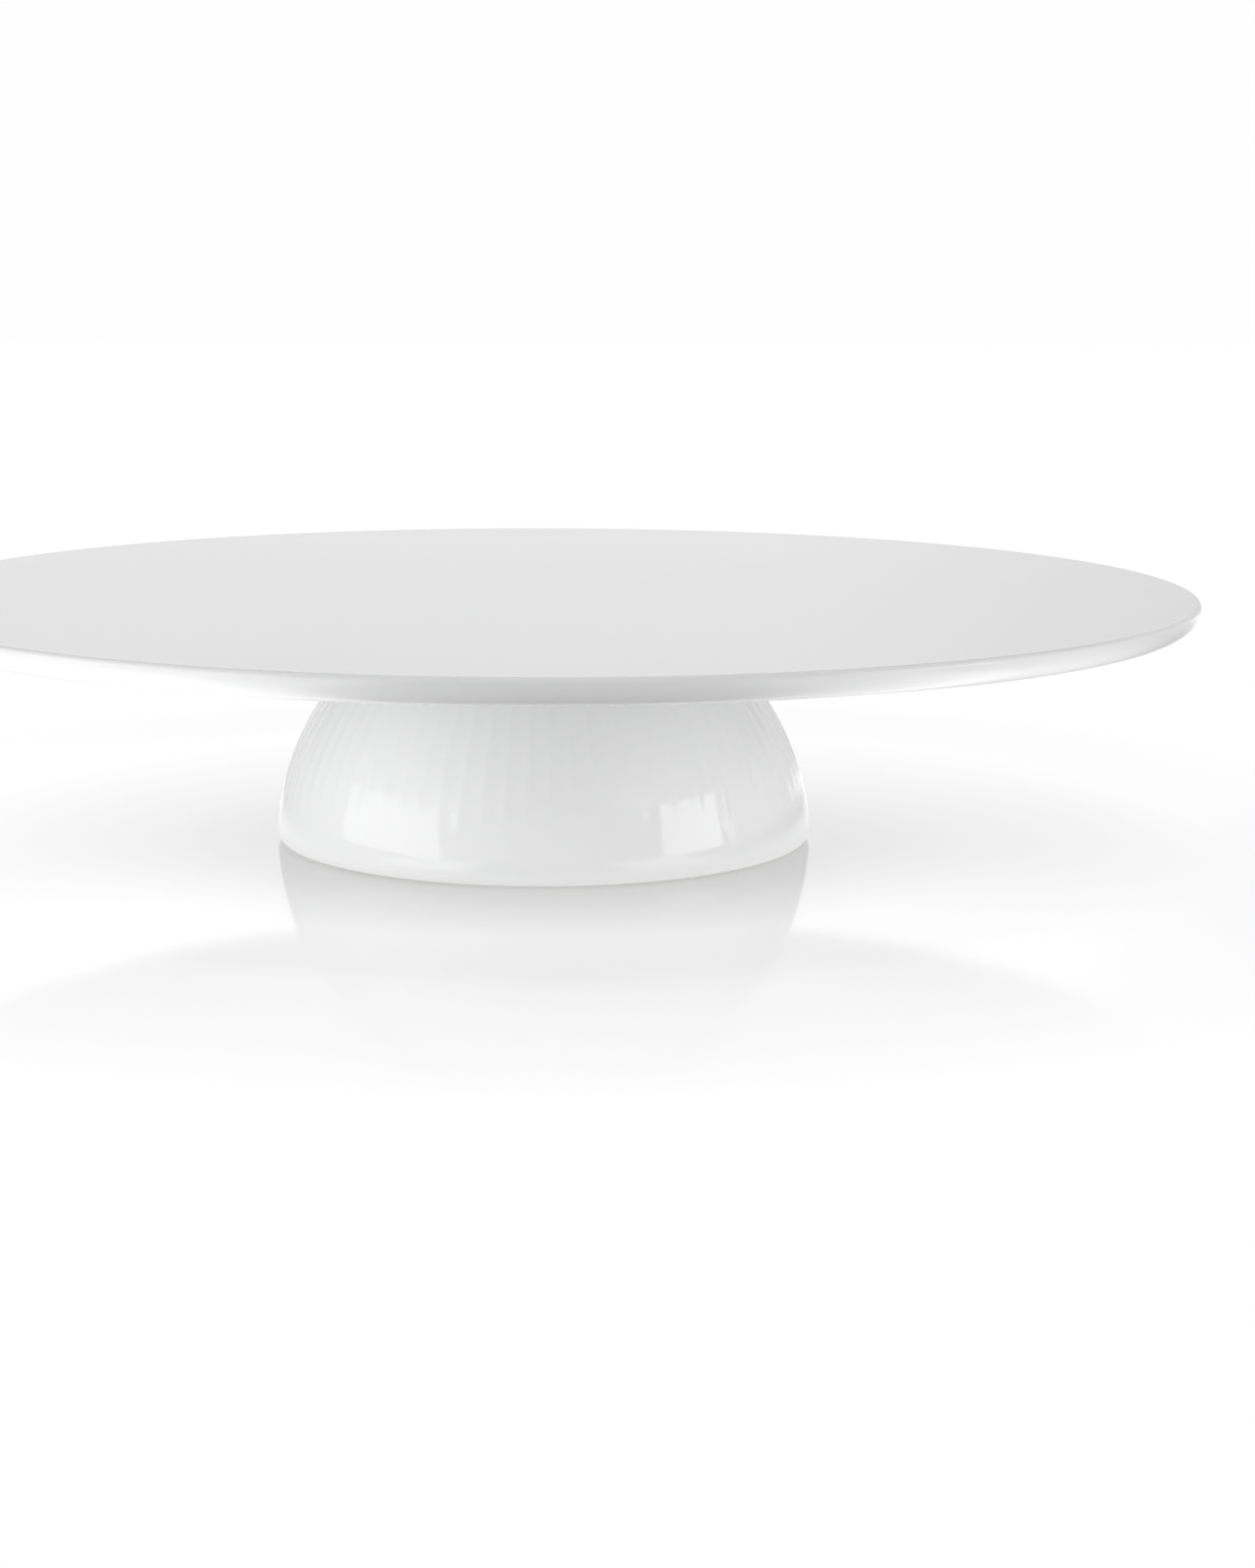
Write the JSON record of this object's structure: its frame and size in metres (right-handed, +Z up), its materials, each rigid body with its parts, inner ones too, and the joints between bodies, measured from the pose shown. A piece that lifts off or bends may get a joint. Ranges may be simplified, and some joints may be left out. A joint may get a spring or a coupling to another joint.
{
  "type": "cake stand",
  "caption": "Low porcelain cake stand: a wide thin round plate clamped on a fluted foot shaped like an upturned bowl.",
  "frame": {"origin": "centre of the base, on the table the stand rests on", "axes": "+Z up along the stand's axis of revolution, from the base to the plate; the pictured front faces -Y"},
  "size_m": [0.32, 0.32, 0.0625],
  "materials": {
    "plate_glaze": "gloss",
    "foot_glaze": "gloss",
    "gasket_silicone": "satin",
    "ring_silicone": "satin",
    "washer_silicone": "satin",
    "insert_brass": "satin",
    "washer_steel": "satin",
    "knob_steel": "satin",
    "stud_steel": "satin"
  },
  "bodies": {
    "foot": {"foot": "foot_glaze", "base_ring": "ring_silicone"},
    "plate": {"plate": "plate_glaze", "threaded_insert": "insert_brass", "seat_gasket": "gasket_silicone"},
    "washers": {"crown_washer": "washer_silicone", "load_washer": "washer_steel"},
    "knob": {"thumb_knob": "knob_steel", "clamp_stud": "stud_steel"}
  },
  "joints": [
    {"name": "plate_lift", "type": "slide", "parent": "foot", "child": "plate", "axis": [0, 0, 1], "range_m": [0, 0.03]},
    {"name": "clamp_travel", "type": "slide", "parent": "foot", "child": "washers", "axis": [0, 0, -1], "range_m": [0, 0.009]},
    {"name": "knob_turn", "type": "hinge", "parent": "washers", "child": "knob", "pos_m": [0, 0, 0.0445], "axis": [0, 0, -1], "range_deg": [0, 2592]}
  ],
  "couplings": [
    {"joint": "knob_turn", "follows": "clamp_travel", "rad_per_m": 5026.5}
  ]
}
